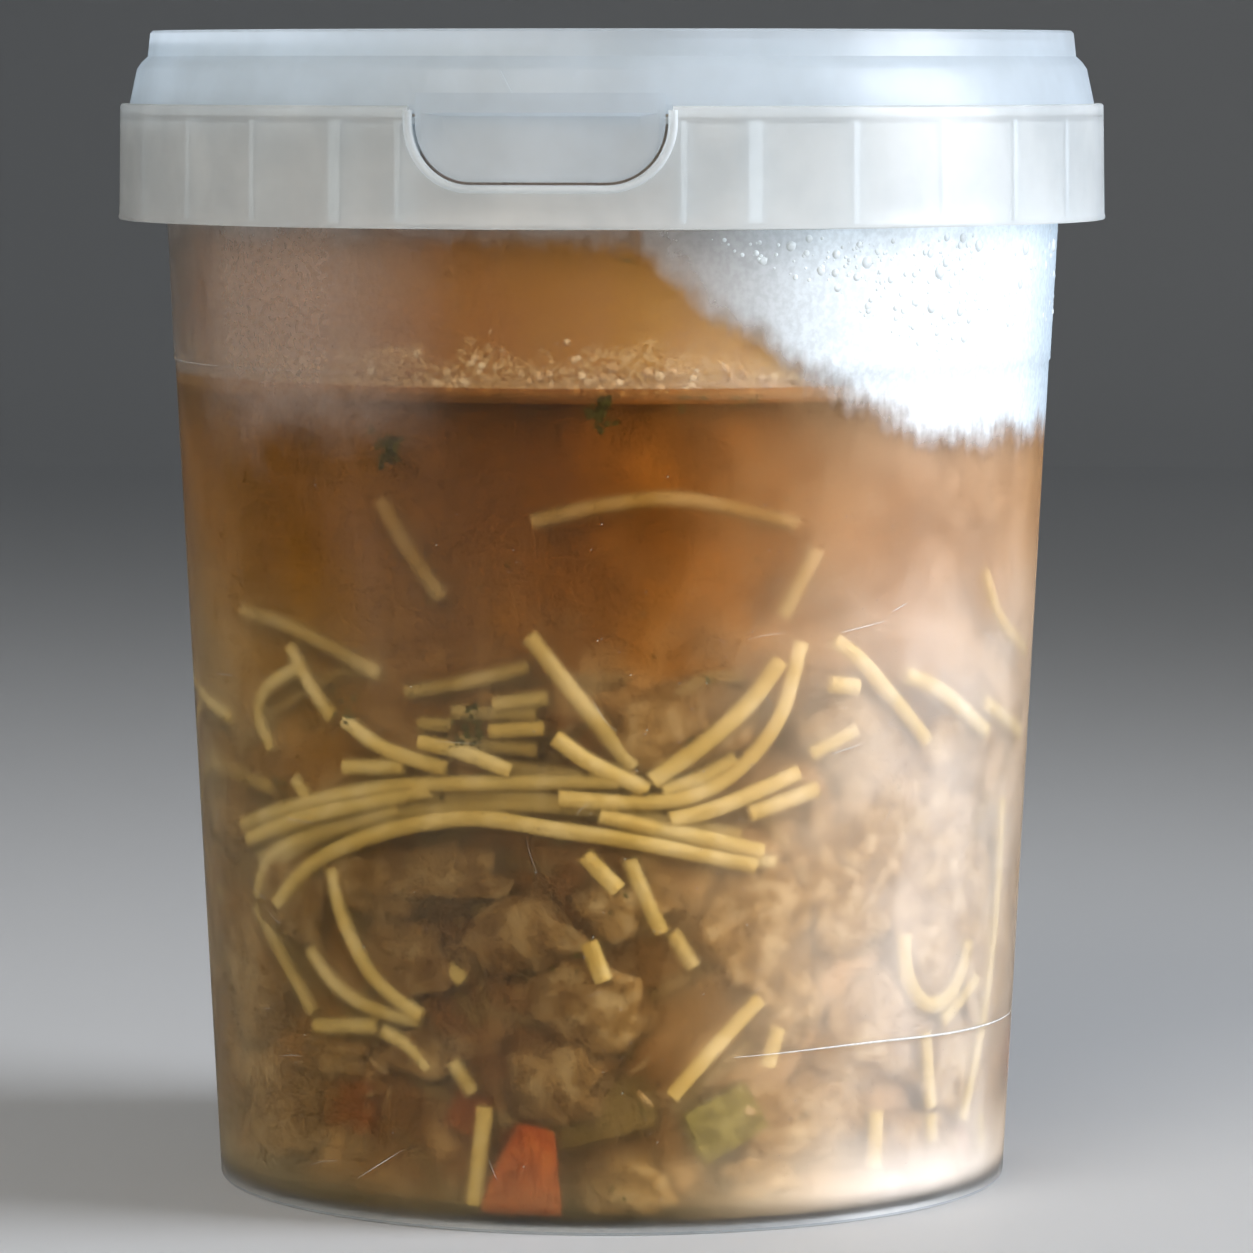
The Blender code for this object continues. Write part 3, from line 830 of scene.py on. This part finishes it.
def add_chunk(points, faces, centre, size, seed, turns=(0, 0, 0), wedge=0.0):
    """Adds a diced piece of vegetable with softened edges. Size is across, up and deep."""
    cube = bmesh.new()
    bmesh.ops.create_cube(cube, size=2)
    bmesh.ops.subdivide_edges(cube, edges=cube.edges[:], cuts=7, use_grid_fill=True)
    first = len(points)
    out = Vector((centre.x, centre.y, 0)).normalized()
    across = Vector((-out.y, out.x, 0))
    spin = Euler([radians(t) for t in turns]).to_matrix()
    for vert in cube.verts:
        way = vert.co.copy()
        ball = way.normalized() * 1.35
        way = way.lerp(ball, 0.22)
        way.x *= 1 - wedge * (way.z + 1) / 2
        way *= 1 + 0.06 * noise.fractal(way * 1.7 + Vector((seed * 3.7, 0, 0)), 1, 2, 3)
        way = spin @ Vector((way.x * size[0], way.y * size[2], way.z * size[1]))
        at = centre + across * way.x + out * way.y
        at.z += way.z
        at.z = min(max(at.z, FLOOR_Z + 0.35), SOUP_Z)
        reached, limit = sqrt(at.x**2 + at.y**2), inner_r(at.z) - 0.3
        if reached > limit:
            at.x *= limit / reached
            at.y *= limit / reached
        points.append(at)
    faces += [[first + v.index for v in face.verts] for face in cube.faces]
    cube.free()


def make_chunks(name, material, seen, others, seed):
    """Diced vegetable. Each is (turn, height, depth, (across, up, deep), (three turns), wedge)."""
    chance = random.Random(seed)
    points, faces = [], []
    for i, (turn, z, depth, size, turns, wedge) in enumerate(seen):
        add_chunk(points, faces, place(turn, z, depth), size, i, turns, wedge)
    for i in range(others):
        size = [chance.uniform(3.0, 5.5) for _ in range(3)]
        turns = [chance.uniform(0, 90) for _ in range(3)]
        at = place(chance.uniform(95, 265), chance.uniform(6, 30), chance.uniform(4.0, 6.5))
        add_chunk(points, faces, at, size, 30 + i, turns, 0.1)
    return add_piece(name, points, faces, material, 50)


def make_flakes(name, material, places, size, seed, ragged=0.75):
    """Small flat flakes that face the wall. Each place is (turn, height, depth, how large)."""
    chance = random.Random(seed)
    points, faces = [], []
    for turn, z, depth, large in places:
        centre = place(turn, z, depth)
        out = Vector((centre.x, centre.y, 0)).normalized()
        across = Vector((-out.y, out.x, 0))
        first, edge = len(points), 9
        lean = chance.uniform(0, pi)
        for side in (0.08, -0.08):
            points.append(centre + out * side)
            for k in range(edge):
                angle = 2 * pi * k / edge
                reach = size * large / 2 * (1 - ragged * chance.random())
                a, b = reach * cos(angle), 0.7 * reach * sin(angle)
                x, up = a * cos(lean) - b * sin(lean), a * sin(lean) + b * cos(lean)
                points.append(centre + across * x + Vector((0, 0, up)) + out * side)
        for k in range(edge):
            m = (k + 1) % edge
            low, high = first + 1, first + edge + 2
            faces += [[first, low + k, low + m], [first + edge + 1, high + m, high + k]]
            faces.append([low + k, high + k, high + m, low + m])
    return add_piece(name, points, faces, material)


def make_herbs(material):
    """Scraps of chopped parsley: in small clusters, and scattered."""
    chance = random.Random(21)
    places = []
    clusters = [(6.5, 94.3, 20, 1.2), (-21.5, 90.5, 22, 1.3), (18, 95.6, 8, 0.8), (25, 95.4, 6, 0.7),
                (-11, 58.5, 22, 0.9), (-14, 57, 9, 0.6), (-29.5, 59.5, 10, 0.8), (-43, 50, 9, 0.8),
                (8, 39, 2, 0.6), (3.5, 32.5, 3, 0.8), (22, 63, 2, 0.7), (35, 14.5, 2, 0.8),
                (8.5, 6, 3, 0.7), (-5, 27, 1, 0.5), (50, 50, 2, 0.6), (-60, 60, 3, 0.8)]
    for turn, z, number, large in clusters:
        for _ in range(number):
            places.append((turn + chance.gauss(0, 1.1), min(z + chance.gauss(0, 1.0), 96.2),
                           chance.uniform(0.12, 0.5), large * chance.uniform(0.5, 1.2)))
    places.append((10, 111.7, 0.3, 0.6))
    for _ in range(150):
        places.append((chance.uniform(-180, 180), chance.uniform(4, 94), chance.uniform(0.5, 3.0),
                       chance.uniform(0.25, 0.9)))
    return make_flakes("parsley_flakes", material, places, 1.35, 22)


def make_pepper(material):
    """Specks of ground black pepper."""
    chance = random.Random(31)
    places = [(14.5, 17.5, 0.5, 1.1), (12.5, 51, 0.5, 1.0), (-5, 27, 0.6, 0.7), (9, 6.5, 0.5, 0.9)]
    for _ in range(160):
        places.append((chance.uniform(-180, 180), chance.uniform(3, 90), chance.uniform(0.4, 2.0),
                       chance.uniform(0.3, 0.8)))
    return make_flakes("pepper_specks", material, places, 0.6, 32, 0.3)


def make_domes(name, material, places, wall_r, seed):
    """Small round drops that stand on a wall. Each is (turn, height, width, how far it stands out)."""
    points, faces = [], []
    for turn, z, width, rise in places:
        r = wall_r(z)
        out = Vector((sin(radians(turn)), -cos(radians(turn)), 0))
        across = Vector((-out.y, out.x, 0))
        centre = out * r + Vector((0, 0, z))
        first, edge = len(points), 10
        for level, reach in ((-0.15, 1.0), (0.55, 0.8), (0.9, 0.42)):
            for k in range(edge):
                angle = 2 * pi * k / edge
                spread = across * (cos(angle) * reach * width / 2)
                spread += Vector((0, 0, sin(angle) * reach * width / 2))
                points.append(centre + spread + out * (rise * level))
        points.append(centre + out * rise)
        for k in range(edge):
            m = (k + 1) % edge
            for low in (first, first + edge):
                faces.append([low + k, low + m, low + edge + m, low + edge + k])
            faces.append([first + 2 * edge + k, first + 2 * edge + m, first + 3 * edge])
    return add_piece(name, points, faces, material, 180)


def make_drops(material):
    """Water drops among the condensation, fewer towards its clear edge."""
    chance = random.Random(41)
    places = []
    while len(places) < 300:
        turn, z = chance.uniform(12, 62), chance.triangular(97, 114.6, 113)
        if z < 117 - 0.42 * (turn - 12) or z < 98:
            continue
        width = min(chance.lognormvariate(-0.75, 0.5), 1.9)
        places.append((turn, z, width, 0.16 * width))
    for _ in range(420):
        turn = chance.uniform(62, 245)
        width = min(chance.lognormvariate(-0.75, 0.5), 1.9)
        places.append((turn, chance.uniform(103, 114.4), width, 0.16 * width))
    return make_domes("water_drops", material, places, lambda z: body_r(z), 42)


def make_froth(material):
    """Fat beads and froth in a ring where the soup meets the wall."""
    chance = random.Random(51)
    places = []
    for _ in range(900):
        z = SOUP_Z + abs(chance.gauss(0.6, 1.7))
        width = chance.uniform(0.35, 1.2)
        places.append((chance.uniform(-180, 180), z, width, 0.26 * width))
    return make_domes("froth", material, places, lambda z: inner_r(z) - 0.42, 52)


def make_scuffs(material):
    """Hairline scratches on the outside. Each is (width, (turn, height), (turn, height), ...)."""
    chance = random.Random(61)
    lines = [(0.26, (25, 20.5), (45, 21), (66, 20.5), (91, 20)), (0.1, (39, 69), (46, 70)),
             (0.1, (47, 71), (50, 72)), (0.08, (38, 55), (43, 56)), (0.07, (-30, 5), (-22, 9))]
    lines.append((0.07, (-80, 98.6), (-55, 98.6), (-25, 98.6)))
    for _ in range(260):
        turn, z = chance.choice((chance.uniform(5, 75), chance.uniform(-180, 180))), chance.uniform(3, 88)
        lines.append((chance.uniform(0.06, 0.16), (turn, z), (turn + 0.2, z + 0.1)))
    for _ in range(60):
        turn, z = chance.uniform(-180, 180), chance.uniform(4, 70)
        reach, lean = chance.uniform(1.5, 6), radians(chance.uniform(-75, 75))
        lines.append((chance.uniform(0.02, 0.045), (turn, z),
                      (turn + degrees_for(reach / 2 * cos(lean)), z + reach / 2 * sin(lean)),
                      (turn + degrees_for(reach * cos(lean)), z + reach * sin(lean * 0.7))))
    points, faces = [], []
    for width, *stops in lines:
        ways = []
        for turn, z in stops:
            r = body_r(z) + 0.01
            ways.append(Vector((r * sin(radians(turn)), -r * cos(radians(turn)), z)))
        path = smooth_path(ways, 0.8)
        for p in path:
            r = (body_r(p.z) + 0.01) / sqrt(p.x**2 + p.y**2)
            p.x *= r
            p.y *= r
        add_tube(points, faces, path, width, 5, 0.4, taper=0.8)
    return add_piece("hairline_scratches", points, faces, material)


# Everything in place

wall_plastic = frosted_wall()
rim_plastic = milky_plastic("injection_moulded_polypropylene_collar", "f4f6f6", 0.58, 0.26, 0.37)
rib_plastic = milky_plastic("injection_moulded_polypropylene_ribs", "d4dce2", 0.1, 0.4, 0.3)
bead_plastic = milky_plastic("injection_moulded_polypropylene_bead", "e4e9ec", 0.2, 0.3, 0.4)
lid_plastic = milky_plastic("injection_moulded_polypropylene_lid", "e6eef5", 0.5, 0.3, 0.43)

foot_plastic = milky_plastic("injection_moulded_polypropylene_foot", "bcc2c8", 0.72, 0.3, 0.16)
tub_wall = make_tub_body(wall_plastic, wet_wall(), foot_plastic)
tub_pieces = [make_collar(rim_plastic), make_ribs(rib_plastic), make_notch_bead(bead_plastic)]
lid = make_lid(lid_plastic)

broth = make_broth(cloudy_broth())
film_outline = [(inner_r(z) - 0.4, z) for z in (SOUP_Z - 1.2, 98.3, 98.5, 102, 106, 110, 115, 120, 125, 128.6)]
film = turned("broth_film", finer(film_outline, 2.0), film_of_broth())
fog_outline = [(body_r(z) + 0.05, z) for z in (80.0, 84, 88, 92, 96, 98.3, 98.5, 102, 106, 110, 115)]
fog = turned("condensation", finer(fog_outline, 2.0), condensation())
surface_outline = [(0, SOUP_Z + 0.25), (30, SOUP_Z + 0.25), (inner_r(SOUP_Z) - 0.7, SOUP_Z + 0.35)]
surface = turned("soup_surface", finer(surface_outline, 2.0), murky_middle())

soup_pieces = [
    make_murk(murky_middle()),
    make_noodles(in_broth("boiled_egg_noodle", ["d4be7c", "e2d098", "f2e6c0"], 6.0, 2.2, 0.45)),
    # For the chicken and its shreds the last number is the share of their own colour on the left: a painted shade.
    make_chicken(in_broth("shredded_cooked_chicken", ["8e7048", "b89868", "e4cea8"], 2.6, 1.7, 0.6, 0.45)),
    make_shreds(in_broth("chicken_shreds", ["a88458", "ccb084", "e0ccaa"], 1.5, 1.8, 0.6, 0.5)),
    make_chunks("carrot_pieces", in_broth("cooked_carrot", ["a04a18", "b85a20", "c87030"], 3.0, 2.4), [
        (-4.5, 7, 2.9, (4.6, 5.4, 3.0), (0, 8, -20), 0.55), (-34, 13.5, 6.0, (4.5, 3.2, 3), (0, 12, 8), 0),
        (-13, 13.5, 5.0, (2.6, 2.4, 2.4), (0, 20, 0), 0.2), (70, 6, 4.0, (3, 2.4, 2), (0, 40, 0), 0.2)], 9, 71),
    make_chunks("celery_pieces", in_broth("cooked_celery", ["6c6628", "88803c", "9e9858"], 2.0, 2.2), [
        (24, 12.8, 3.0, (4.4, 3.2, 2.4), (0, -28, -10), 0.1), (6, 14, 5.4, (6.5, 3.2, 2.5), (0, -14, 0), 0)],
        7, 72),
    make_herbs(in_broth("chopped_parsley", ["2a3414", "444f26", "5c6632"], 0.6, 2.6)),
    make_pepper(in_broth("ground_black_pepper", ["1c1712", "2e241a"], 0.5, 3.0)),
    make_froth(in_broth("froth_and_fat", ["b98d55", "d0a873", "e2c79c"], 2.0, 6.0, 0.3)),
]
drops = make_drops(plain("water_drop", "e4ecf0", 0.2, 0.15, 1.33))
scuffs = make_scuffs(plain("scratched_polypropylene", "f0f2f2", 0.5, 0.25))

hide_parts("tub")
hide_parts("lid")
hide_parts("soup")
for piece in [tub_wall, *tub_pieces, lid, broth, film, fog, surface, *soup_pieces, drops, scuffs]:
    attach(piece, "root")


# The stage, light and camera

def make_stage():
    """A plain pale floor that curves up into a far backdrop all round."""
    made, add = new_material("pale_matt_floor")
    add("OutputMaterial", add("BsdfPrincipled", {"Base Color": "c9cbcd", "Roughness": 0.6}))
    outline = [(0, -0.05), (1400, -0.05)] + arc(1400, 1000, 1000.05, -90, 0, 16) + [(2400, 1800)]
    turned("stage", outline, made, segments=96)


def make_lamp(name, turn, height, distance, size, power, tint):
    """A soft rectangular lamp that faces the tub. Turn is in degrees from the front view, in metres."""
    data = bpy.data.lights.new(name, "AREA")
    data.shape = "RECTANGLE"
    data.size, data.size_y = size
    data.energy = power
    data.color = colour(tint)[:3]
    data.spread = radians(75)
    lamp = bpy.data.objects.new(name, data)
    angle = radians(turn) + FRONT
    lamp.location = (distance * sin(angle), -distance * cos(angle), height)
    aim = Vector((0, 0, 0.07)) - lamp.location
    lamp.rotation_euler = aim.to_track_quat("-Z", "Y").to_euler()
    bpy.context.scene.collection.objects.link(lamp)


def make_camera():
    """A long lens a little below the lid's height, slightly round to the right of the tab."""
    data = bpy.data.cameras.new("camera")
    data.sensor_width = 36.0
    data.lens = 186.7
    data.clip_start, data.clip_end = 0.05, 20.0
    data.shift_x = 0.0116
    camera = bpy.data.objects.new("camera", data)
    turn, distance = radians(8.15), 0.782
    camera.location = (distance * sin(turn), -distance * cos(turn), 0.13324)
    camera.rotation_euler = (radians(90 - 4.92), 0, turn)
    bpy.context.scene.collection.objects.link(camera)
    bpy.context.scene.camera = camera


make_stage()
make_lamp("key_right", 78, 0.35, 0.9, (0.5, 0.8), 3.7, "f6f9ff")
make_lamp("fill_left", -25, 0.5, 0.9, (1.0, 0.8), 2.3, "fff8ee")
make_lamp("soft_top", 10, 1.2, 0.25, (0.9, 0.9), 0.12, "f6f9ff")
make_camera()

world = bpy.data.worlds.new("studio")
world.use_nodes = True
world.node_tree.nodes["Background"].inputs["Color"].default_value = colour("8a8e92")
world.node_tree.nodes["Background"].inputs["Strength"].default_value = 0.55
scene = bpy.context.scene
scene.world = world
scene.view_settings.view_transform = "Standard"
scene.cycles.adaptive_threshold = 0.06
scene.cycles.adaptive_min_samples = 12
scene.cycles.use_light_tree = False
scene.cycles.max_bounces = 10
scene.cycles.transmission_bounces = 10
scene.cycles.transparent_max_bounces = 16
scene.cycles.diffuse_bounces = 1
scene.cycles.glossy_bounces = 2
scene.cycles.sample_clamp_indirect = 4.0
scene.cycles.caustics_reflective = False
scene.cycles.caustics_refractive = True
